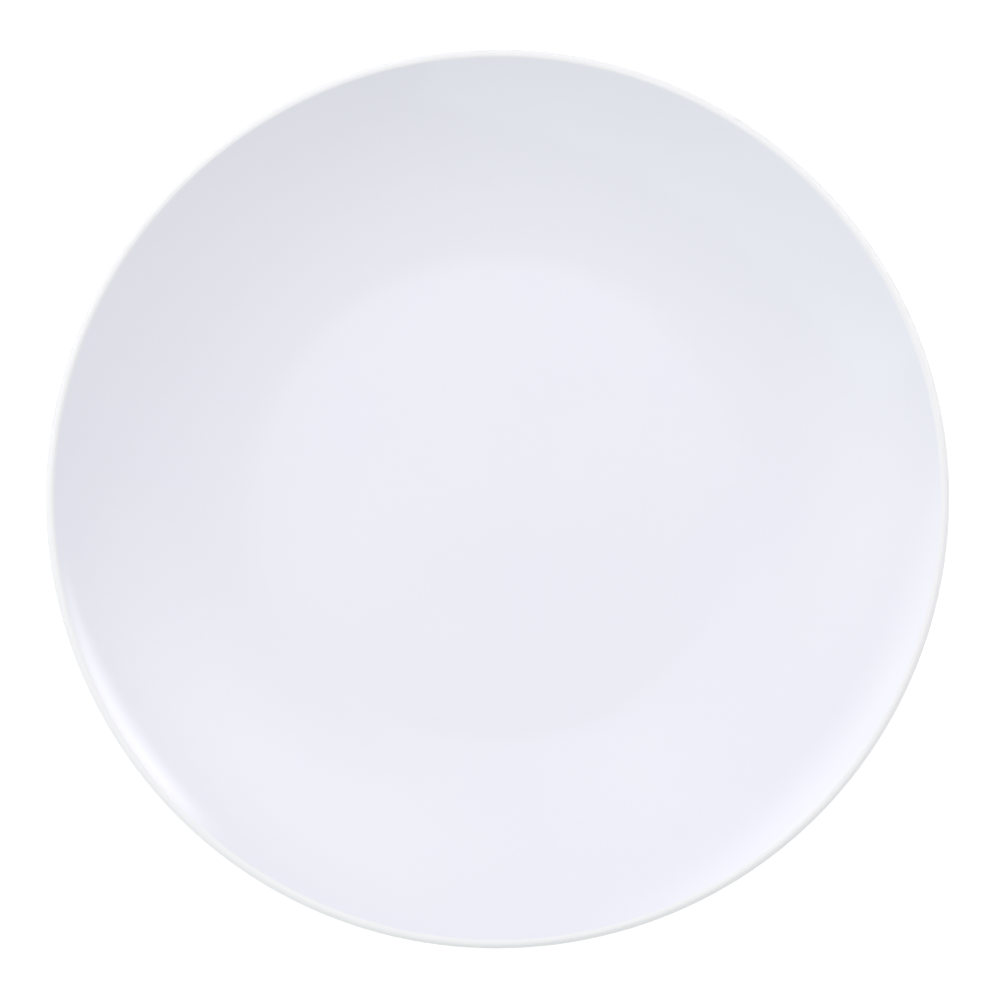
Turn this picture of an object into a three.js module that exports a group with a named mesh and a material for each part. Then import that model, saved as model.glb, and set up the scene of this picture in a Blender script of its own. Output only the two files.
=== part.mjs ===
// Coupe dessert plate in white porcelain: a body pressed and fired in one, with a ground foot ring, and
// the coats of gloss glaze on its eating face, on its outside and in the recess of its foot.
// Millimetres, +Z up. The origin lies on the table at the centre of the foot ring.
import * as THREE from "three";

// Finished plate, glaze included.
const PLATE_DIAMETER = 200;
const PLATE_HEIGHT = 24;
const LIP_THICKNESS = 2.4;

// Well: a flat floor, then a quick bend that eases into the long curve of the wall.
const WELL_DIAMETER = 106;
const WELL_BEND_RADIUS = 22;
const WELL_BEND_DEGREES = 12;

// Body under the glaze.
const FLOOR_THICKNESS = 3.6;
const FOOT_DIAMETER = 114;
const FOOT_WIDTH = 3.4;
const FOOT_HEIGHT = 2.2;
const FOOT_LEAN_DEGREES = 20;
const FOOT_EDGE_RADIUS = 0.5;
const FOOT_FILLET_RADIUS = 1.2;

// Glaze: how thick it lies, the hairline between it and the body, and the band wiped bare above the
// table.
const GLAZE_THICKNESS = 0.3;
const BOND_GAP = 0.03;
const BARE_BAND_HEIGHT = 0.9;

// Fineness of the facets: flats round the axis, and how far a flat may stray from its arc.
const FLATS_ROUND = 64;
const CHORD_ERROR = 0.05;

const GLAZE_FINISH = { color: 0xecedf6, roughness: 0.1, metalness: 0 };
const BISQUE_FINISH = { color: 0xefece6, roughness: 0.65, metalness: 0 };

const QUARTER_TURN = Math.PI / 2;
const HALF_TURN = Math.PI;

// Unit vector at an angle in the half plane of radius (x) and height (y) that the sections are drawn in.
function heading(angle) {
  return new THREE.Vector2(Math.cos(angle), Math.sin(angle));
}

// Point at a distance from another, along an angle.
function pointAt(origin, distance, angle) {
  return heading(angle).multiplyScalar(distance).add(origin);
}

// Arc with the body inside it.
function roundArc(centre, radius, from, to) {
  return { centre, radius, from, to, hollow: false };
}

// Arc with the body outside it.
function hollowArc(centre, radius, from, to) {
  return { centre, radius, from, to, hollow: true };
}

// Arc that leaves a point along a heading and ends at another point. Outlines run with the body on
// their right, so an arc that turns left is hollow.
function arcThrough(start, startAngle, end) {
  const chord = end.clone().sub(start);
  const left = heading(startAngle + QUARTER_TURN);
  const turnRadius = chord.lengthSq() / (2 * chord.dot(left));
  const centre = left.multiplyScalar(turnRadius).add(start);
  const from = start.clone().sub(centre).angle();
  const to = end.clone().sub(centre).angle();
  return turnRadius > 0 ? hollowArc(centre, turnRadius, from, to) : roundArc(centre, -turnRadius, from, to);
}

// The same arc, lifted off the body.
function lifted(arc, lift) {
  return { ...arc, radius: arc.radius + (arc.hollow ? -lift : lift) };
}

// Points along an arc at a lift off the body, with as many steps as the unlifted arc needs.
function pointsAlong(arc, lift) {
  const widestStep = 2 * Math.acos(1 - CHORD_ERROR / arc.radius);
  const steps = Math.ceil(Math.abs(arc.to - arc.from) / widestStep);
  const { centre, radius } = lifted(arc, lift);
  return Array.from({ length: steps + 1 }, (_, step) =>
    pointAt(centre, radius, THREE.MathUtils.lerp(arc.from, arc.to, step / steps)),
  );
}

// Well and wall. The spine runs half a lip thickness under the eating face, so that it ends in the
// lip's centre.
const wellHeight = FOOT_HEIGHT + FLOOR_THICKNESS + GLAZE_THICKNESS;
const bendAngle = THREE.MathUtils.degToRad(WELL_BEND_DEGREES);
const bendCentre = new THREE.Vector2(WELL_DIAMETER / 2, wellHeight + WELL_BEND_RADIUS);
const bend = hollowArc(
  bendCentre,
  WELL_BEND_RADIUS + GLAZE_THICKNESS,
  -QUARTER_TURN,
  bendAngle - QUARTER_TURN,
);
const lipRadius = LIP_THICKNESS / 2;
const lipCoreRadius = lipRadius - GLAZE_THICKNESS;
const lipCentre = new THREE.Vector2(PLATE_DIAMETER / 2 - lipRadius, PLATE_HEIGHT - lipRadius);
const spineStart = pointAt(bendCentre, WELL_BEND_RADIUS + lipRadius, bend.to);
const spine = arcThrough(spineStart, bendAngle, lipCentre);
const wall = lifted(spine, lipCoreRadius);

// Lip: a half round whose ends lie square to the wall, in three stretches: up to its highest line, over
// to its widest line and under to the outside.
const lipSlope = 2 * lipCentre.clone().sub(spineStart).angle() - bendAngle;
const lipRise = roundArc(lipCentre, lipCoreRadius, lipSlope + QUARTER_TURN, QUARTER_TURN);
const lipCrown = roundArc(lipCentre, lipCoreRadius, QUARTER_TURN, 0);
const lipUnder = roundArc(lipCentre, lipCoreRadius, 0, lipSlope - QUARTER_TURN);

// Foot ring: leaning flanks, rounded edges at the table, and fillets where it grows out of the body. The
// edges and the fillets leave room on the flanks for the line where the glaze is wiped off.
const lean = THREE.MathUtils.degToRad(FOOT_LEAN_DEGREES);
const heightPerRadius = 1 - Math.sin(lean);
const edgeRadius = Math.min(FOOT_EDGE_RADIUS, BARE_BAND_HEIGHT / heightPerRadius);
const filletRadius = Math.min(FOOT_FILLET_RADIUS, (FOOT_HEIGHT - BARE_BAND_HEIGHT) / heightPerRadius);
const outerFlank = {
  foot: FOOT_DIAMETER / 2,
  outward: -lean,
  upward: QUARTER_TURN - lean,
};
const innerFlank = {
  foot: FOOT_DIAMETER / 2 - FOOT_WIDTH,
  outward: HALF_TURN + lean,
  upward: QUARTER_TURN + lean,
};

// Point at a distance out from a flank, square to the spot on it that is at a height above the table.
function pointOffFlank(flank, height, distance) {
  const onFlank = pointAt(new THREE.Vector2(flank.foot, 0), height / Math.cos(lean), flank.upward);
  return pointAt(onFlank, distance, flank.outward);
}

// Centre, at a height above the table, of a round that touches a flank: from outside, or from inside at
// a negative distance.
function roundBeside(flank, height, distance) {
  return pointOffFlank(flank, height + distance * Math.sin(lean), distance);
}

// Centre of the fillet in the corner between the outer flank and an arc above it: where the line beside
// the flank meets the circle under the arc, each a fillet radius off the body.
function filletCentreUnder(arc) {
  const lineStart = pointOffFlank(outerFlank, 0, filletRadius);
  const fromCentre = lineStart.clone().sub(arc.centre);
  const along = fromCentre.dot(heading(outerFlank.upward));
  const reach = lifted(arc, filletRadius).radius;
  const distance = -along - Math.sqrt(along ** 2 - fromCentre.lengthSq() + reach ** 2);
  return pointAt(lineStart, distance, outerFlank.upward);
}

const outerEdge = roundArc(
  roundBeside(outerFlank, edgeRadius, -edgeRadius),
  edgeRadius,
  outerFlank.outward,
  -QUARTER_TURN,
);
const innerEdge = roundArc(
  roundBeside(innerFlank, edgeRadius, -edgeRadius),
  edgeRadius,
  HALF_TURN + QUARTER_TURN,
  innerFlank.outward,
);
const innerFillet = hollowArc(
  roundBeside(innerFlank, FOOT_HEIGHT - filletRadius, filletRadius),
  filletRadius,
  innerFlank.outward - HALF_TURN,
  QUARTER_TURN,
);

// Underside: one arc from the lip towards the corner over the foot's outer edge at the height of the
// recess, cut short where the fillet takes over.
const lipEnd = pointAt(lipCentre, lipCoreRadius, lipUnder.to);
const footCorner = new THREE.Vector2(FOOT_DIAMETER / 2, FOOT_HEIGHT);
const wholeUnderside = arcThrough(lipEnd, lipSlope + HALF_TURN, footCorner);
const outerFilletCentre = filletCentreUnder(wholeUnderside);
const undersideEnd = outerFilletCentre.clone().sub(wholeUnderside.centre).angle();
const underside = { ...wholeUnderside, to: undersideEnd };
const outerFillet = hollowArc(
  outerFilletCentre,
  filletRadius,
  undersideEnd - HALF_TURN,
  outerFlank.outward + HALF_TURN,
);

// Stretches of the outline, each at a lift off the body.
function eatingFace(lift) {
  const middle = new THREE.Vector2(0, FOOT_HEIGHT + FLOOR_THICKNESS + lift);
  return [middle, ...[bend, wall, lipRise, lipCrown].flatMap((arc) => pointsAlong(arc, lift))];
}

function outside(lift) {
  const wipedLine = pointOffFlank(outerFlank, BARE_BAND_HEIGHT, lift);
  return [...[lipUnder, underside, outerFillet].flatMap((arc) => pointsAlong(arc, lift)), wipedLine];
}

function recess(lift) {
  const wipedLine = pointOffFlank(innerFlank, BARE_BAND_HEIGHT, lift);
  const middle = new THREE.Vector2(0, FOOT_HEIGHT - lift);
  return [wipedLine, ...pointsAlong(innerFillet, lift), middle];
}

// Section of the body: its glazed stretches, with the bare edges of the foot between them.
function bodySection() {
  const bareEdges = [outerEdge, innerEdge].flatMap((arc) => pointsAlong(arc, 0));
  return [...eatingFace(0), ...outside(0), ...bareEdges, ...recess(0)];
}

// Section of a coat of glaze over one stretch of the outline.
function coatSection(stretch) {
  const face = stretch(GLAZE_THICKNESS);
  const back = stretch(BOND_GAP).reverse();
  return [...face, ...back, face[0]];
}

// One named sub-part, turned round the upright axis. The section is reversed, because a turned profile
// faces out when the body is on its left.
function turned(name, section, finish) {
  const geometry = new THREE.LatheGeometry(section.reverse(), FLATS_ROUND);
  geometry.rotateX(QUARTER_TURN);
  const mesh = new THREE.Mesh(geometry, new THREE.MeshStandardMaterial(finish));
  mesh.name = name;
  return mesh;
}

const plate = new THREE.Group();
plate.name = "dessert_plate";
plate.add(
  turned("porcelain_body", bodySection(), BISQUE_FINISH),
  turned("upper_glaze", coatSection(eatingFace), GLAZE_FINISH),
  turned("underside_glaze", coatSection(outside), GLAZE_FINISH),
  turned("recess_glaze", coatSection(recess), GLAZE_FINISH),
);

export default plate;
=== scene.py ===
"""White porcelain coupe plate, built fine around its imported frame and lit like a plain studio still."""
from __future__ import annotations

import logging
import math
from abc import ABC, abstractmethod
from dataclasses import dataclass, replace
from enum import Enum
from functools import cached_property

import bmesh
import bpy
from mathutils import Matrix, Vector

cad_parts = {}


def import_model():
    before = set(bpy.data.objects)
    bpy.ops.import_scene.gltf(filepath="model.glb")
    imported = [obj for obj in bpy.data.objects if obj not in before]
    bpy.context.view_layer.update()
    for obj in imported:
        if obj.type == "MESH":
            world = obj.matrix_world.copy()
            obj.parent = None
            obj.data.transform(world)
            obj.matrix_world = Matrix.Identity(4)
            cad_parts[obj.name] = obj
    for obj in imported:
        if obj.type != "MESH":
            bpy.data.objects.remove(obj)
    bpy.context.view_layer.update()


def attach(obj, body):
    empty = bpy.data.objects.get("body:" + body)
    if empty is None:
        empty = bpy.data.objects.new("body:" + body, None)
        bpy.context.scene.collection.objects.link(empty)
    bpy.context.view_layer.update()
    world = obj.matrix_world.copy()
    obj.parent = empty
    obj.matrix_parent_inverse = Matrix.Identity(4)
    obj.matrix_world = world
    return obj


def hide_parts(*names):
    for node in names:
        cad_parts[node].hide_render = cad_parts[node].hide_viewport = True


LOG = logging.getLogger("dessert_plate")

WHITE = "#FFFFFF"

MM = 0.001
FULL_TURN = 2 * math.pi
HALF_TURN = math.pi
QUARTER_TURN = math.pi / 2

# Millimetres within which a spot lies on the axis, and within which two spots are one.
ON_AXIS = 1e-6
SAME_PLACE = 1e-5

# Noise nearly always lies between these.
NOISE_SPREAD = (0.3, 0.7)

# Places of a Mix node's sockets for colours: the share, the two colours and what they mix to.
MIX_SHARE, MIX_FIRST, MIX_SECOND, MIX_RESULT = 0, 6, 7, 2


def linear(colour: str) -> tuple[float, float, float, float]:
    """Turns a colour into what a shader socket takes.

    Args:
        colour: sRGB hex value, such as "#EEEEF6".

    Returns:
        Linear red, green and blue, and an alpha of 1.
    """
    shares = [int(colour[place:place + 2], 16) / 255 for place in (1, 3, 5)]
    # The sRGB curve, which is straight near black and a power above.
    red, green, blue = (
        share / 12.92 if share <= 0.04045 else ((share + 0.055) / 1.055) ** 2.4 for share in shares
    )
    return red, green, blue, 1.0


def scale_of(width_mm: float) -> float:
    """Gives a pattern's scale from the width of its marks in millimetres."""
    return 1 / (width_mm * MM)


def add_node(
    tree: bpy.types.NodeTree, kind: str, inputs: dict[str | int, object], **settings: object
) -> bpy.types.Node:
    """Adds a shader node, sets it up and links what feeds it.

    Args:
        tree: The node tree that takes it.
        kind: The node's class, without "ShaderNode" in front.
        inputs: For each input, by name or place, its value or the output that feeds it.
        settings: The node's own settings.

    Returns:
        The new node.
    """
    node = tree.nodes.new("ShaderNode" + kind)
    for name, value in settings.items():
        setattr(node, name, value)
    for place, value in inputs.items():
        if isinstance(value, bpy.types.NodeSocket):
            tree.links.new(value, node.inputs[place])
        else:
            node.inputs[place].default_value = value
    return node


def new_material(name: str) -> bpy.types.Material:
    """Makes a material that is drawn by nodes.

    Args:
        name: What it is called.

    Returns:
        The material, with its first nodes.
    """
    material = bpy.data.materials.new(name)
    material.use_nodes = True
    return material


def seen_share(tree: bpy.types.NodeTree) -> bpy.types.NodeSocket:
    """Adds what tells a look at a thing from the light that it sends.

    Args:
        tree: The node tree that takes it.

    Returns:
        An output that is 1 for what the camera sees, directly or mirrored, and 0 for light.
    """
    path = add_node(tree, "LightPath", {}).outputs
    mirrored = add_node(
        tree, "Math", {0: path["Is Glossy Ray"], 1: path["Is Transmission Ray"]}, operation="MAXIMUM"
    )
    seen = add_node(
        tree, "Math", {0: path["Is Camera Ray"], 1: mirrored.outputs[0]}, operation="MAXIMUM"
    )
    return seen.outputs[0]


def smooth_step(share: float) -> float:
    """Eases from 0 to 1, level at both ends."""
    share = min(max(share, 0.0), 1.0)
    return share * share * (3 - 2 * share)


def heading(angle: float) -> Vector:
    """Gives the unit vector at an angle in the half plane of radius and height."""
    return Vector((math.cos(angle), math.sin(angle)))


def angle_of(arrow: Vector) -> float:
    """Gives a vector's angle, from 0 up to a full turn."""
    return math.atan2(arrow.y, arrow.x) % FULL_TURN


@dataclass(frozen=True)
class OutlineSpot:
    """A spot on the outline of the fired body.

    Attributes:
        place: Radius and height, in millimetres.
        outward: Unit vector away from the body.
    """

    place: Vector
    outward: Vector

    def lifted(self, lift: float) -> Vector:
        """Gives the place that lies this many millimetres off the body."""
        return self.place + self.outward * lift


@dataclass(frozen=True)
class Line:
    """A straight stretch of the outline.

    Attributes:
        start: Radius and height where it starts, in millimetres.
        end: Where it ends.
        steps: Into how many steps it is cut.
    """

    start: Vector
    end: Vector
    steps: int

    def spots(self) -> list[OutlineSpot]:
        """Marks the line out. The body is on its right.

        Returns:
            The spots along it, both ends included.
        """
        along = (self.end - self.start).normalized()
        outward = Vector((-along.y, along.x))
        return [
            OutlineSpot(self.start.lerp(self.end, step / self.steps), outward)
            for step in range(self.steps + 1)
        ]


@dataclass(frozen=True)
class Arc:
    """A stretch of the outline along a circle.

    Attributes:
        centre: Radius and height of the circle's centre, in millimetres.
        radius: The circle's radius.
        start: Angle at which the arc starts.
        end: Angle at which it ends.
        steps: Into how many steps it is cut.
        hollow: Whether the body is outside the circle.
    """

    centre: Vector
    radius: float
    start: float
    end: float
    steps: int
    hollow: bool

    @classmethod
    def through(cls, start: Vector, angle: float, end: Vector, steps: int) -> Arc:
        """Draws the arc that leaves a place along an angle and ends at another place.

        Args:
            start: Where it starts.
            angle: The direction in which it leaves.
            end: Where it ends.
            steps: Into how many steps it is cut.

        Returns:
            The arc. Outlines have the body on their right, so one that turns left is hollow.
        """
        chord = end - start
        left = heading(angle + QUARTER_TURN)
        turn = chord.length_squared / (2 * chord.dot(left))
        centre = start + left * turn
        return cls(centre, abs(turn), angle_of(start - centre), angle_of(end - centre), steps, turn > 0)

    def reach(self, lift: float) -> float:
        """Gives the radius of the same arc at a lift off the body."""
        return self.radius - lift if self.hollow else self.radius + lift

    def spots(self) -> list[OutlineSpot]:
        """Marks the arc out.

        Returns:
            The spots along it, both ends included.
        """
        turn = self.end - self.start
        angles = [self.start + turn * step / self.steps for step in range(self.steps + 1)]
        away = -1 if self.hollow else 1
        return [OutlineSpot(self.centre + heading(a) * self.radius, heading(a) * away) for a in angles]


def spots_along(*parts: Line | Arc) -> list[OutlineSpot]:
    """Gives the spots along stretches that follow each other."""
    return [spot for part in parts for spot in part.spots()]


def without_doubles(section: list[Vector]) -> list[Vector]:
    """Leaves out each place of a closed section that repeats the one before it."""
    pairs = zip(section, section[-1:] + section[:-1])
    return [place for place, before in pairs if (place - before).length > SAME_PLACE]


class Flank(Enum):
    """A flank of the foot ring, by the way that it faces along the radius."""

    OUTER = 1
    INNER = -1


@dataclass(frozen=True)
class Fineness:
    """Into how many steps each stretch of the outline is cut.

    Attributes:
        floor: Of the well.
        bend: From the floor into the wall.
        wall: Up to the lip.
        lip_rise: From the wall to the lip's highest line.
        lip_crown: From there to its widest line.
        lip_under: From there to the outside.
        underside: From the lip to the foot.
        fillet: Hollow beside the foot.
        flank: Of the foot, down to the wiped line.
        foot_edge: Rounding at the table.
        foot_base: Face on the table.
        ceiling: Of the recess.
    """

    floor: int = 10
    bend: int = 12
    wall: int = 30
    lip_rise: int = 10
    lip_crown: int = 22
    lip_under: int = 14
    underside: int = 40
    fillet: int = 10
    flank: int = 12
    foot_edge: int = 8
    foot_base: int = 4
    ceiling: int = 10


@dataclass(frozen=True)
class PlateForm:
    """Section of the fired body. Sizes are in millimetres, and the plate's own include the glaze.

    Attributes:
        diameter: Across the lip.
        height: From the table to the top of the lip.
        lip_thickness: Of the rounded lip.
        well_diameter: Of the flat floor.
        bend_radius: Of the quick bend from the floor into the wall.
        bend_degrees: How far that bend turns.
        floor_thickness: Of the body under the well.
        foot_diameter: Across the foot ring, at the table.
        foot_width: Of the ring, at the table.
        foot_height: From the table to the recess inside the ring.
        foot_lean_degrees: Lean of the ring's flanks.
        foot_edge_radius: Rounding where the flanks meet the table.
        foot_fillet_radius: Hollow where the ring grows out of the body.
        glaze_thickness: Of a coat of glaze.
        bond_gap: Between a coat and the body.
        bare_band: Height of the band wiped bare above the table.
        fineness: Steps along the outline.
    """

    diameter: float = 200.0
    height: float = 24.0
    lip_thickness: float = 2.4
    well_diameter: float = 106.0
    bend_radius: float = 22.0
    bend_degrees: float = 12.0
    floor_thickness: float = 3.6
    foot_diameter: float = 114.0
    foot_width: float = 3.4
    foot_height: float = 2.2
    foot_lean_degrees: float = 20.0
    foot_edge_radius: float = 0.5
    foot_fillet_radius: float = 1.2
    glaze_thickness: float = 0.3
    bond_gap: float = 0.03
    bare_band: float = 0.9
    fineness: Fineness = Fineness()

    @property
    def floor_top(self) -> float:
        """Height of the bare floor of the well."""
        return self.foot_height + self.floor_thickness

    @property
    def lean(self) -> float:
        """Lean of the foot's flanks, as an angle."""
        return math.radians(self.foot_lean_degrees)

    @cached_property
    def bend(self) -> Arc:
        """The quick bend at the edge of the floor.

        Returns:
            Its arc on the bare body, one coat of glaze under the bend that shows.
        """
        centre = Vector((self.well_diameter / 2, self.floor_top + self.glaze_thickness + self.bend_radius))
        radius = self.bend_radius + self.glaze_thickness
        end = math.radians(self.bend_degrees) - QUARTER_TURN
        return Arc(centre, radius, -QUARTER_TURN, end, self.fineness.bend, hollow=True)

    @cached_property
    def lip_centre(self) -> Vector:
        """Centre of the rounded lip."""
        half = self.lip_thickness / 2
        return Vector((self.diameter / 2 - half, self.height - half))

    @property
    def lip_core(self) -> float:
        """Radius of the lip under the glaze."""
        return self.lip_thickness / 2 - self.glaze_thickness

    @cached_property
    def spine(self) -> Arc:
        """The wall's middle line, half a lip thickness under the eating face, up to the lip's centre."""
        start = self.bend.centre + heading(self.bend.end) * (self.bend_radius + self.lip_thickness / 2)
        return Arc.through(start, self.bend.end + QUARTER_TURN, self.lip_centre, self.fineness.wall)

    @property
    def wall(self) -> Arc:
        """The long curve of the wall, above its middle line."""
        return replace(self.spine, radius=self.spine.reach(self.lip_core))

    @property
    def lip_slope(self) -> float:
        """Slope of the wall where it meets the lip."""
        return self.spine.end - 3 * QUARTER_TURN

    def lip(self, start: float, end: float, steps: int) -> Arc:
        """Gives the stretch of the rounded lip from one angle to another, in this many steps."""
        return Arc(self.lip_centre, self.lip_core, start, end, steps, hollow=False)

    def off_flank(self, flank: Flank, height: float, distance: float) -> Vector:
        """Gives a place beside a flank of the foot ring.

        Args:
            flank: The flank.
            height: Of the spot on the flank, above the table.
            distance: Out from that spot, square to the flank.

        Returns:
            Radius and height.
        """
        side = flank.value
        foot = self.foot_diameter / 2 - (self.foot_width if flank is Flank.INNER else 0)
        on_flank = Vector((foot + side * height * math.tan(self.lean), height))
        return on_flank + Vector((side * math.cos(self.lean), -math.sin(self.lean))) * distance

    def beside_flank(self, flank: Flank, height: float, distance: float) -> Vector:
        """Gives the centre, at a height, of a round that touches a flank at a distance."""
        return self.off_flank(flank, height + distance * math.sin(self.lean), distance)

    @cached_property
    def whole_underside(self) -> Arc:
        """The outside, before the foot's hollow cuts it short.

        Returns:
            Its arc, from the lip to the corner over the foot.
        """
        angle = self.lip_slope - QUARTER_TURN
        start = self.lip_centre + heading(angle) * self.lip_core
        corner = Vector((self.foot_diameter / 2, self.foot_height))
        return Arc.through(start, self.lip_slope + HALF_TURN, corner, self.fineness.underside)

    @cached_property
    def outer_fillet_centre(self) -> Vector:
        """Centre of the hollow between the foot's outer flank and the outside above it.

        Returns:
            Where the line beside the flank meets the circle under the outside, each as far off the
            body as the hollow's radius.
        """
        arc = self.whole_underside
        upward = heading(QUARTER_TURN - self.lean)
        start = self.off_flank(Flank.OUTER, 0, self.foot_fillet_radius)
        from_centre = start - arc.centre
        along = from_centre.dot(upward)
        reach = arc.reach(self.foot_fillet_radius)
        return start + upward * (-along - math.sqrt(along**2 - from_centre.length_squared + reach**2))

    def eating_face(self) -> list[OutlineSpot]:
        """Draws the side that food lies on.

        Returns:
            The outline from the middle of the well over the lip to its widest line.
        """
        steps = self.fineness
        edge = Vector((self.well_diameter / 2, self.floor_top))
        floor = Line(Vector((0, self.floor_top)), edge, steps.floor)
        rise = self.lip(self.lip_slope + QUARTER_TURN, QUARTER_TURN, steps.lip_rise)
        crown = self.lip(QUARTER_TURN, 0, steps.lip_crown)
        return spots_along(floor, self.bend, self.wall, rise, crown)

    def outside(self) -> list[OutlineSpot]:
        """Draws the side that faces the table, outside the foot.

        Returns:
            The outline from the lip's widest line down to the wiped line on the outer flank.
        """
        steps = self.fineness
        lip = self.lip(0, self.lip_slope - QUARTER_TURN, steps.lip_under)
        centre, radius = self.outer_fillet_centre, self.foot_fillet_radius
        end = angle_of(centre - self.whole_underside.centre)
        under = replace(self.whole_underside, end=end)
        fillet = Arc(centre, radius, end - HALF_TURN, HALF_TURN - self.lean, steps.fillet, hollow=True)
        wiped = self.off_flank(Flank.OUTER, self.bare_band, 0)
        flank = Line(fillet.spots()[-1].place, wiped, steps.flank)
        return spots_along(lip, under, fillet, flank)

    def bare_foot(self) -> list[OutlineSpot]:
        """Draws the foot where it is bare.

        Returns:
            The outline between the two wiped lines.
        """
        steps = self.fineness
        radius = self.foot_edge_radius
        outer_centre, inner_centre = (self.beside_flank(flank, radius, -radius) for flank in Flank)
        outer = Arc(outer_centre, radius, -self.lean, -QUARTER_TURN, steps.foot_edge, hollow=False)
        inner = Arc(
            inner_centre, radius, 3 * QUARTER_TURN, HALF_TURN + self.lean, steps.foot_edge, hollow=False
        )
        base = Line(outer.spots()[-1].place, inner.spots()[0].place, steps.foot_base)
        return spots_along(outer, base, inner)

    def recess(self) -> list[OutlineSpot]:
        """Draws the hollow inside the foot ring.

        Returns:
            The outline from the wiped line on the inner flank to the middle of the recess.
        """
        steps = self.fineness
        radius = self.foot_fillet_radius
        centre = self.beside_flank(Flank.INNER, self.foot_height - radius, radius)
        fillet = Arc(centre, radius, self.lean, QUARTER_TURN, steps.fillet, hollow=True)
        wiped = self.off_flank(Flank.INNER, self.bare_band, 0)
        flank = Line(wiped, fillet.spots()[0].place, steps.flank)
        ceiling = Line(fillet.spots()[-1].place, Vector((0, self.foot_height)), steps.ceiling)
        return spots_along(flank, fillet, ceiling)


@dataclass(frozen=True)
class Wave:
    """A wave that runs round the plate.

    Attributes:
        size: Height of a crest, in millimetres.
        crests: How many there are.
        angle: Where the first of them is.
    """

    size: float
    crests: int
    angle: float

    def height(self, turn: float) -> float:
        """Gives its height at an angle round the axis."""
        return self.size * math.cos(self.crests * (turn - self.angle))


@dataclass(frozen=True)
class KilnWarp:
    """How far the wall moved in the kiln, which keeps the lip from being quite round and level.

    Attributes:
        still_radius: Radius up to which nothing moved, in millimetres.
        lip_radius: Radius at which the whole movement shows.
        lifts: Waves in the height.
        swells: Waves in the radius.
    """

    still_radius: float = 60.0
    lip_radius: float = 100.0
    lifts: tuple[Wave, ...] = (Wave(0.14, 2, 0.6), Wave(0.06, 3, 2.1))
    swells: tuple[Wave, ...] = (Wave(0.04, 2, 0.3), Wave(0.05, 5, 0.4))

    def moved(self, spot: Vector, turn: float) -> tuple[float, float, float]:
        """Gives where a spot of the section ends up.

        Args:
            spot: Radius and height, in millimetres.
            turn: Angle round the axis.

        Returns:
            The place in metres.
        """
        reach = smooth_step((spot.x - self.still_radius) / (self.lip_radius - self.still_radius))
        lift, swell = (
            reach * sum(wave.height(turn) for wave in waves) for waves in (self.lifts, self.swells)
        )
        radius = (spot.x + swell) * MM
        return radius * math.cos(turn), radius * math.sin(turn), (spot.y + lift) * MM


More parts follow.
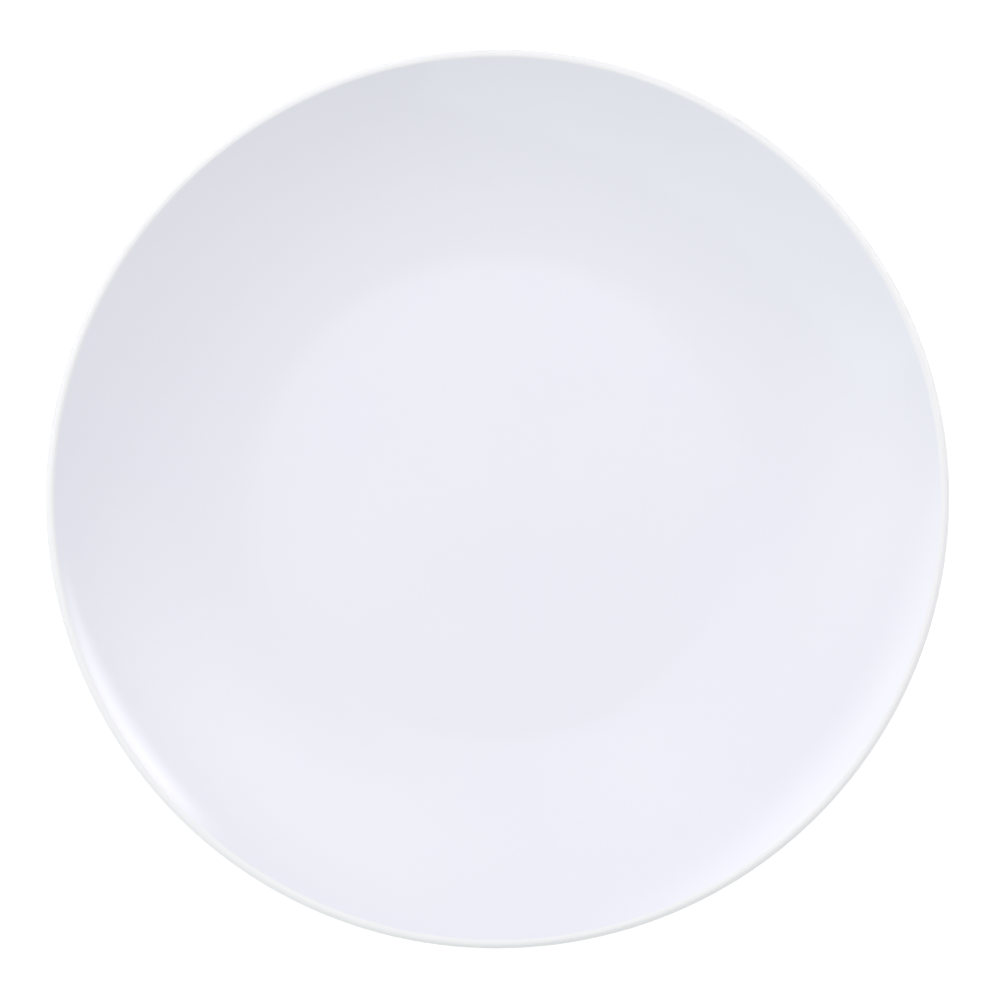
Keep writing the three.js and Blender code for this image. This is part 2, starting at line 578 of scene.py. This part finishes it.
@dataclass(frozen=True)
class GlossGlaze:
    """Clear feldspar gloss glaze, sprayed on white porcelain and melted in the kiln.

    The melt levels itself, so it mirrors lamps crisply. What the eye finds in it is a faint waviness
    in the reflections, a finer peel, and a cool white that drifts a little where the coat is fuller.

    Attributes:
        colour: Where the coat is even.
        full_colour: Where it is fuller.
        lip_colour: Over the lip, where it drew thin and more of the body's own white shows.
        lip_mm: Radius at which it starts to thin, and radius from which it is thin.
        drift_mm: Width of the drifts in colour and gloss.
        drift_detail: How many times finer drifts lie in them.
        roughness: Least and most.
        ior: Of a feldspar glaze.
        wave_mm: Width of the waves that the melt sets in.
        wave_detail: How many times finer waves lie in them.
        wave_height_mm: Their height.
        peel_mm: Width of the finer peel. The real one is about 0.6 mm and is drawn coarser to show.
        peel_detail: How many times a finer peel lies in it.
        peel_height_mm: Its height.
    """

    colour: str = "#EEEEF6"
    full_colour: str = "#EBEBF5"
    lip_colour: str = "#F4F3F6"
    lip_mm: tuple[float, float] = (97.8, 98.4)
    drift_mm: float = 38.0
    drift_detail: float = 3.0
    roughness: tuple[float, float] = (0.035, 0.06)
    ior: float = 1.5
    wave_mm: float = 9.0
    wave_detail: float = 1.0
    wave_height_mm: float = 0.006
    peel_mm: float = 1.6
    peel_detail: float = 2.0
    peel_height_mm: float = 0.0007

    def tone(
        self, tree: bpy.types.NodeTree, place: bpy.types.NodeSocket, drift: bpy.types.NodeSocket
    ) -> bpy.types.NodeSocket:
        """Adds the colour, which drifts over the plate and is whiter on the lip.

        Args:
            tree: The material's node tree.
            place: Output that gives a spot's place.
            drift: Output that gives how full the coat is.

        Returns:
            The output that gives the colour.
        """
        even = add_node(
            tree,
            "Mix",
            {MIX_SHARE: drift, MIX_FIRST: linear(self.colour), MIX_SECOND: linear(self.full_colour)},
            data_type="RGBA",
        )
        # Without its height, a place's length is its distance from the axis.
        level = add_node(tree, "VectorMath", {0: place, 1: (1.0, 1.0, 0.0)}, operation="MULTIPLY")
        radius = add_node(tree, "VectorMath", {0: level.outputs[0]}, operation="LENGTH")
        thin = add_node(
            tree,
            "MapRange",
            {
                "Value": radius.outputs["Value"],
                "From Min": self.lip_mm[0] * MM,
                "From Max": self.lip_mm[1] * MM,
            },
            interpolation_type="SMOOTHSTEP",
        )
        whole = add_node(
            tree,
            "Mix",
            {
                MIX_SHARE: thin.outputs[0],
                MIX_FIRST: even.outputs[MIX_RESULT],
                MIX_SECOND: linear(self.lip_colour),
            },
            data_type="RGBA",
        )
        return whole.outputs[MIX_RESULT]

    def relief(self, tree: bpy.types.NodeTree, place: bpy.types.NodeSocket) -> bpy.types.NodeSocket:
        """Adds the waves of the melt, and the finer peel on them.

        Args:
            tree: The material's node tree.
            place: Output that gives a spot's place.

        Returns:
            The output that gives the way the surface faces.
        """
        wave = add_node(
            tree,
            "TexNoise",
            {"Vector": place, "Scale": scale_of(self.wave_mm), "Detail": self.wave_detail},
        )
        peel = add_node(
            tree,
            "TexNoise",
            {"Vector": place, "Scale": scale_of(self.peel_mm), "Detail": self.peel_detail},
        )
        waved = add_node(
            tree,
            "Bump",
            {"Height": wave.outputs[0], "Strength": 1.0, "Distance": self.wave_height_mm * MM},
        )
        peeled = add_node(
            tree,
            "Bump",
            {
                "Height": peel.outputs[0],
                "Strength": 1.0,
                "Distance": self.peel_height_mm * MM,
                "Normal": waved.outputs[0],
            },
        )
        return peeled.outputs[0]

    def build(self) -> bpy.types.Material:
        """Makes the finish.

        Returns:
            Its material.
        """
        material = new_material("glazed_porcelain")
        tree = material.node_tree
        place = add_node(tree, "TexCoord", {}).outputs["Object"]
        drift = add_node(
            tree,
            "TexNoise",
            {"Vector": place, "Scale": scale_of(self.drift_mm), "Detail": self.drift_detail},
        ).outputs[0]
        gloss = add_node(
            tree,
            "MapRange",
            {
                "Value": drift,
                "From Min": NOISE_SPREAD[0],
                "From Max": NOISE_SPREAD[1],
                "To Min": self.roughness[0],
                "To Max": self.roughness[1],
            },
        )
        shader = tree.nodes["Principled BSDF"]
        shader.inputs["IOR"].default_value = self.ior
        tree.links.new(self.tone(tree, place, drift), shader.inputs["Base Color"])
        tree.links.new(gloss.outputs[0], shader.inputs["Roughness"])
        tree.links.new(self.relief(tree, place), shader.inputs["Normal"])
        return material


@dataclass(frozen=True)
class GroundBisque:
    """Bare vitrified porcelain, fired white and ground level on a diamond wheel.

    It has no glaze, so it is matt and a little warm, with the fine tooth of the grinding and faint
    grey where it was pushed over shelves.

    Attributes:
        colour: Of the clean body.
        scuff_colour: Where it rubbed off on shelves.
        scuff_mm: Width of the scuffs.
        scuff_detail: How many times finer scuffs lie in them.
        scuff_spread: Noise at which a scuff starts, and from which it is full.
        roughness: Of the ground face.
        ior: Of vitrified porcelain.
        grit_mm: Width of the tooth. The real one is about 0.1 mm and is drawn coarser to show.
        grit_detail: How many times a finer tooth lies in it.
        grit_height_mm: Its height.
    """

    colour: str = "#EFEDE8"
    scuff_colour: str = "#E2DFD9"
    scuff_mm: float = 2.5
    scuff_detail: float = 6.0
    scuff_spread: tuple[float, float] = (0.52, 0.72)
    roughness: float = 0.65
    ior: float = 1.5
    grit_mm: float = 0.35
    grit_detail: float = 2.0
    grit_height_mm: float = 0.02

    def build(self) -> bpy.types.Material:
        """Makes the finish.

        Returns:
            Its material.
        """
        material = new_material("ground_bisque_porcelain")
        tree = material.node_tree
        place = add_node(tree, "TexCoord", {}).outputs["Object"]
        scuff = add_node(
            tree,
            "TexNoise",
            {"Vector": place, "Scale": scale_of(self.scuff_mm), "Detail": self.scuff_detail},
        )
        rubbed = add_node(
            tree,
            "MapRange",
            {
                "Value": scuff.outputs[0],
                "From Min": self.scuff_spread[0],
                "From Max": self.scuff_spread[1],
            },
            interpolation_type="SMOOTHSTEP",
        )
        tone = add_node(
            tree,
            "Mix",
            {
                MIX_SHARE: rubbed.outputs[0],
                MIX_FIRST: linear(self.colour),
                MIX_SECOND: linear(self.scuff_colour),
            },
            data_type="RGBA",
        )
        grit = add_node(
            tree,
            "TexNoise",
            {"Vector": place, "Scale": scale_of(self.grit_mm), "Detail": self.grit_detail},
        )
        tooth = add_node(
            tree,
            "Bump",
            {"Height": grit.outputs[0], "Strength": 1.0, "Distance": self.grit_height_mm * MM},
        )
        shader = tree.nodes["Principled BSDF"]
        shader.inputs["Roughness"].default_value = self.roughness
        shader.inputs["IOR"].default_value = self.ior
        tree.links.new(tone.outputs[MIX_RESULT], shader.inputs["Base Color"])
        tree.links.new(tooth.outputs[0], shader.inputs["Normal"])
        return material


@dataclass(frozen=True)
class WhiteLaminate:
    """Matt white laminate, pressed smooth and evenly lit.

    It has neither grain nor gloss, so the eye finds plain white with the plate's soft shadow on it.
    From below it is clear, so that the foot can be looked at.

    Attributes:
        colour: As it lights the plate from below.
        shade_colour: What it shows of shadows, on top of its own white.
        white: Level of that white.
        shadow_reach: Distance from the axis at which shadows start to fade, and at which none is left,
            in metres.
    """

    colour: str = "#F2F2F2"
    shade_colour: str = "#AAAAAA"
    white: float = 0.76
    shadow_reach: tuple[float, float] = (0.25, 0.6)

    def shown(self, tree: bpy.types.NodeTree, place: bpy.types.NodeSocket) -> bpy.types.NodeSocket:
        """Adds what the camera sees of it: white, with shadows near the plate.

        Args:
            tree: The material's node tree.
            place: Output that gives a spot's place.

        Returns:
            The output that gives the look.
        """
        radius = add_node(tree, "VectorMath", {0: place}, operation="LENGTH")
        far = add_node(
            tree,
            "MapRange",
            {
                "Value": radius.outputs["Value"],
                "From Min": self.shadow_reach[0],
                "From Max": self.shadow_reach[1],
            },
            interpolation_type="SMOOTHSTEP",
        )
        shaded = add_node(tree, "BsdfDiffuse", {"Color": linear(self.shade_colour)})
        dimmed = add_node(tree, "Emission", {"Color": linear(WHITE), "Strength": self.white})
        near = add_node(tree, "AddShader", {0: shaded.outputs[0], 1: dimmed.outputs[0]})
        white = add_node(tree, "Emission", {"Color": linear(WHITE), "Strength": 1.0})
        shown = add_node(tree, "MixShader", {0: far.outputs[0], 1: near.outputs[0], 2: white.outputs[0]})
        return shown.outputs[0]

    def build(self) -> bpy.types.Material:
        """Makes the finish.

        Returns:
            Its material.
        """
        material = new_material("white_laminate_table")
        tree = material.node_tree
        tree.nodes.remove(tree.nodes["Principled BSDF"])
        surface = add_node(tree, "NewGeometry", {}).outputs
        lit = add_node(tree, "BsdfDiffuse", {"Color": linear(self.colour)})
        shown = self.shown(tree, surface["Position"])
        top = add_node(tree, "MixShader", {0: seen_share(tree), 1: lit.outputs[0], 2: shown})
        clear = add_node(tree, "BsdfTransparent", {})
        both = add_node(
            tree, "MixShader", {0: surface["Backfacing"], 1: top.outputs[0], 2: clear.outputs[0]}
        )
        tree.links.new(both.outputs[0], tree.nodes["Material Output"].inputs["Surface"])
        return material


@dataclass
class TurnedPiece(ABC):
    """A piece of the plate that is round about the plate's axis.

    Attributes:
        form: Section of the fired body.
        warp: What the kiln did to it.
        segments: Flats round the axis.
        sharp_degrees: Angle from which an edge isn't smoothed over.
    """

    form: PlateForm
    warp: KilnWarp
    segments: int = 192
    sharp_degrees: float = 50.0

    @property
    @abstractmethod
    def name(self) -> str:
        """Name of the piece."""

    @property
    @abstractmethod
    def node(self) -> str:
        """The frame's node that the piece stands for."""

    @property
    @abstractmethod
    def slot(self) -> str:
        """The record's material slot of the piece."""

    @abstractmethod
    def section(self) -> list[Vector]:
        """Gives the closed section, as radius and height in millimetres."""

    def mesh(self) -> bpy.types.Mesh:
        """Turns the section round the axis.

        Returns:
            The closed mesh, smooth but for its sharp edges.
        """
        places: list[tuple[float, float, float]] = []
        rings: list[list[int]] = []
        for spot in self.section():
            # A spot on the axis is a single corner, and any other makes a ring of them.
            flats = self.segments if spot.x > ON_AXIS else 1
            rings.append(list(range(len(places), len(places) + flats)))
            places += [self.warp.moved(spot, FULL_TURN * flat / flats) for flat in range(flats)]
        faces: list[tuple[int, ...]] = []
        for ring, following in zip(rings, rings[1:] + rings[:1]):
            if len(ring) == len(following) == 1:
                continue
            for flat in range(self.segments):
                turns = (flat, flat + 1)
                here = [ring[turn % len(ring)] for turn in turns]
                there = [following[turn % len(following)] for turn in reversed(turns)]
                faces.append(tuple(dict.fromkeys(here + there)))
        mesh = bpy.data.meshes.new(self.name)
        mesh.from_pydata(places, [], faces)
        shape = bmesh.new()
        shape.from_mesh(mesh)
        bmesh.ops.recalc_face_normals(shape, faces=shape.faces)
        shape.to_mesh(mesh)
        shape.free()
        mesh.shade_smooth()
        mesh.set_sharp_from_angle(angle=math.radians(self.sharp_degrees))
        return mesh

    def build(self, finish: bpy.types.Material) -> bpy.types.Object:
        """Makes the piece and dresses it.

        Args:
            finish: Its material.

        Returns:
            The piece, in place of its node.
        """
        mesh = self.mesh()
        mesh.materials.append(finish)
        piece = bpy.data.objects.new(self.name, mesh)
        bpy.context.collection.objects.link(piece)
        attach(piece, "root")
        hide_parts(self.node)
        self.slot
        return piece


@dataclass
class FiredBody(TurnedPiece):
    """The pressed and fired body, which shows only at its ground foot."""

    @property
    def name(self) -> str:
        """Name of the piece."""
        return "fired_porcelain_body"

    @property
    def node(self) -> str:
        """The frame's node that the piece stands for."""
        return "porcelain_body"

    @property
    def slot(self) -> str:
        """The record's material slot of the piece."""
        return "bisque"

    def section(self) -> list[Vector]:
        """Goes once round the outline of the body.

        Returns:
            The closed section, as radius and height in millimetres.
        """
        form = self.form
        spots = form.eating_face() + form.outside() + form.bare_foot() + form.recess()
        return without_doubles([spot.place for spot in spots])


class Stretch(Enum):
    """A stretch of the outline that carries a coat of glaze, by the frame's node for that coat."""

    EATING_FACE = "upper_glaze"
    OUTSIDE = "underside_glaze"
    RECESS = "recess_glaze"


@dataclass
class GlazeCoat(TurnedPiece):
    """A coat of glaze over one stretch of the outline.

    Attributes:
        stretch: What it covers.
        bead_height: How far the melt drew up beside a wiped line, in millimetres.
        bead_place: Distance of that bead's crest from the line.
        bead_width: Of the bead.
    """

    stretch: Stretch = Stretch.EATING_FACE
    bead_height: float = 0.06
    bead_place: float = 0.5
    bead_width: float = 0.3

    @property
    def name(self) -> str:
        """Name of the piece."""
        return f"{self.stretch.name.lower()}_coat"

    @property
    def node(self) -> str:
        """The frame's node that the piece stands for."""
        return self.stretch.value

    @property
    def slot(self) -> str:
        """The record's material slot of the piece."""
        return "glaze"

    def spots(self) -> list[OutlineSpot]:
        """Picks the stretch of the outline that the coat covers.

        Returns:
            Its spots, starting at its wiped line if it has one.
        """
        if self.stretch is Stretch.EATING_FACE:
            return self.form.eating_face()
        if self.stretch is Stretch.OUTSIDE:
            return self.form.outside()[::-1]
        return self.form.recess()

    def thickness(self, distance: float) -> float:
        """Gives how far the coat's face lies off the body.

        Args:
            distance: Along the outline from the wiped line, in millimetres.

        Returns:
            Millimetres off the body.
        """
        gap, full = self.form.bond_gap, self.form.glaze_thickness
        if self.stretch is Stretch.EATING_FACE:
            return full
        # The coat ends in a quarter round, and its bead fades to both sides.
        edge = min(distance / full, 1.0)
        bead = self.bead_height * math.exp(-(((distance - self.bead_place) / self.bead_width) ** 2))
        return gap + (full - gap + bead) * math.sqrt(1 - (1 - edge) ** 2)

    def section(self) -> list[Vector]:
        """Goes along the coat's face and back beside the body.

        Returns:
            The closed section, as radius and height in millimetres.
        """
        spots = self.spots()
        distance = 0.0
        face = []
        for place, spot in enumerate(spots):
            distance += (spot.place - spots[max(place - 1, 0)].place).length
            face.append(spot.lifted(self.thickness(distance)))
        back = [spot.lifted(self.form.bond_gap) for spot in reversed(spots)]
        return without_doubles(face + back)


@dataclass(frozen=True)
class Softbox:
    """A diffused lamp that faces the plate.

    Attributes:
        name: What it does.
        azimuth: Where it stands, in degrees counter-clockwise from the right of the picture.
        elevation: Height of its middle above the table, in degrees.
        width: In metres.
        height: In metres.
        level: Brightness of its middle, where 1 is the white of the picture.
        feather: Share of its half width and height over which it fades out towards its edges.
        colour: Of its light.
        distance: From the plate, in metres.
    """

    name: str
    azimuth: float
    elevation: float
    width: float
    height: float
    level: float
    feather: float
    colour: str = WHITE
    distance: float = 1.6

    def fade(self, tree: bpy.types.NodeTree) -> bpy.types.NodeSocket:
        """Adds the fading towards the edges.

        Args:
            tree: The lamp's node tree.

        Returns:
            The output that gives 1 in the middle of the lamp and 0 at its edges.
        """
        across = add_node(tree, "NewGeometry", {}).outputs["Parametric"]
        sides = add_node(tree, "SeparateXYZ", {0: across})
        fades = []
        for side in sides.outputs[:2]:
            # Rises from 0 at both edges to 0.5 in the middle.
            inward = add_node(tree, "Math", {0: side, 1: 0.5}, operation="PINGPONG")
            fades.append(
                add_node(
                    tree,
                    "MapRange",
                    {"Value": inward.outputs[0], "From Max": self.feather / 2},
                    interpolation_type="SMOOTHSTEP",
                )
            )
        fade = add_node(
            tree, "Math", {0: fades[0].outputs[0], 1: fades[1].outputs[0]}, operation="MULTIPLY"
        )
        return fade.outputs[0]

    def build(self) -> bpy.types.Object:
        """Sets the lamp up.

        Returns:
            The lamp.
        """
        lamp = bpy.data.lights.new(self.name, "AREA")
        lamp.shape = "RECTANGLE"
        lamp.size, lamp.size_y = self.width, self.height
        # A flat lamp's power is its level times its area, and times pi for all the ways it shines.
        lamp.energy = self.level * math.pi * self.width * self.height
        lamp.color = linear(self.colour)[:3]
        lamp.use_nodes = True
        tree = lamp.node_tree
        tree.links.new(self.fade(tree), tree.nodes["Emission"].inputs["Strength"])
        stand = bpy.data.objects.new(self.name, lamp)
        around, up = math.radians(self.azimuth), math.radians(self.elevation)
        away = Vector((math.cos(around) * math.cos(up), math.sin(around) * math.cos(up), math.sin(up)))
        stand.location = away * self.distance
        stand.rotation_euler = away.to_track_quat("Z", "Y").to_euler()
        bpy.context.collection.objects.link(stand)
        return stand


@dataclass
class Studio:
    """The pale table, the soft light and the camera above the plate.

    Attributes:
        softboxes: The lamps.
        ambient: Level of the light from all round.
        laminate: Finish of the table.
        table_size: In metres.
        table_gap: Between the table and the foot, in metres, so that their faces stay apart.
        camera_elevation: In degrees above the table.
        camera_distance: From the spot it looks at, in metres.
        camera_target: That spot, in metres.
        lens: Focal length in millimetres.
    """

    softboxes: tuple[Softbox, ...] = (
        Softbox("key_strip", azimuth=146, elevation=27, width=3.7, height=0.86, level=2.68, feather=0.85),
        Softbox("rim_strip", azimuth=31, elevation=27.6, width=1.4, height=0.45, level=4.9, feather=0.55),
        Softbox(
            "side_card",
            azimuth=235,
            elevation=29,
            width=2.3,
            height=1.77,
            level=0.42,
            feather=0.06,
            colour="#EBFFF4",
        ),
        Softbox("front_card", azimuth=300, elevation=11, width=2.6, height=0.5, level=0.7, feather=0.8),
        Softbox("left_scrim", azimuth=174, elevation=45, width=1.6, height=1.4, level=1.12, feather=1.0),
        Softbox("back_scrim", azimuth=48, elevation=45, width=2.2, height=1.4, level=1.25, feather=1.0),
        Softbox("top_scrim", azimuth=90, elevation=89, width=4.0, height=4.0, level=0.58, feather=1.0),
    )
    ambient: float = 0.4
    laminate: WhiteLaminate = WhiteLaminate()
    table_size: float = 8.0
    table_gap: float = 0.0001
    camera_elevation: float = 84.8
    camera_distance: float = 0.638
    camera_target: tuple[float, float, float] = (0.000531, 0.000419, 0.0)
    lens: float = 100.0

    def build_world(self) -> None:
        """Fills the room with even light, and lets it look white."""
        world = bpy.data.worlds.new("white_room")
        bpy.context.scene.world = world
        world.use_nodes = True
        tree = world.node_tree
        lit = tree.nodes["Background"]
        lit.inputs["Color"].default_value = linear(WHITE)
        lit.inputs["Strength"].default_value = self.ambient
        white = add_node(tree, "Background", {"Color": linear(WHITE), "Strength": 1.0})
        mix = add_node(tree, "MixShader", {0: seen_share(tree), 1: lit.outputs[0], 2: white.outputs[0]})
        tree.links.new(mix.outputs[0], tree.nodes["World Output"].inputs["Surface"])

    def build_table(self) -> bpy.types.Object:
        """Lays the table under the foot.

        Returns:
            The table, kept out of the part.
        """
        half = self.table_size / 2
        corners = [(x * half, y * half, -self.table_gap) for x, y in ((-1, -1), (1, -1), (1, 1), (-1, 1))]
        mesh = bpy.data.meshes.new("table")
        mesh.from_pydata(corners, [], [range(len(corners))])
        mesh.materials.append(self.laminate.build())
        table = bpy.data.objects.new("table", mesh)
        bpy.context.collection.objects.link(table)
        return table

    def build_camera(self) -> bpy.types.Object:
        """Hangs the camera almost straight above the plate.

        Returns:
            The camera.
        """
        camera = bpy.data.objects.new("camera", bpy.data.cameras.new("camera"))
        camera.data.lens = self.lens
        up = math.radians(self.camera_elevation)
        back = Vector((0, -math.cos(up), math.sin(up)))
        camera.location = Vector(self.camera_target) + back * self.camera_distance
        camera.rotation_euler = back.to_track_quat("Z", "Y").to_euler()
        bpy.context.collection.objects.link(camera)
        bpy.context.scene.camera = camera
        return camera

    def build(self) -> None:
        """Sets up the camera, the light and the table."""
        bpy.context.scene.view_settings.view_transform = "Standard"
        self.build_camera()
        self.build_world()
        self.build_table()
        for softbox in self.softboxes:
            softbox.build()


def main() -> None:
    """Builds the studio and the plate around the frame, and reports each piece."""
    logging.basicConfig(level=logging.INFO, format="%(name)s: %(message)s")
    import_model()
    Studio().build()
    form, warp = PlateForm(), KilnWarp()
    glaze, bisque = GlossGlaze().build(), GroundBisque().build()
    body = FiredBody(form, warp).build(bisque)
    coats = [GlazeCoat(form, warp, stretch=stretch).build(glaze) for stretch in Stretch]
    for piece in (body, *coats):
        LOG.info("%s: %d faces, %s", piece.name, len(piece.data.polygons), piece.data.materials[0].name)


if __name__ == "__main__":
    main()
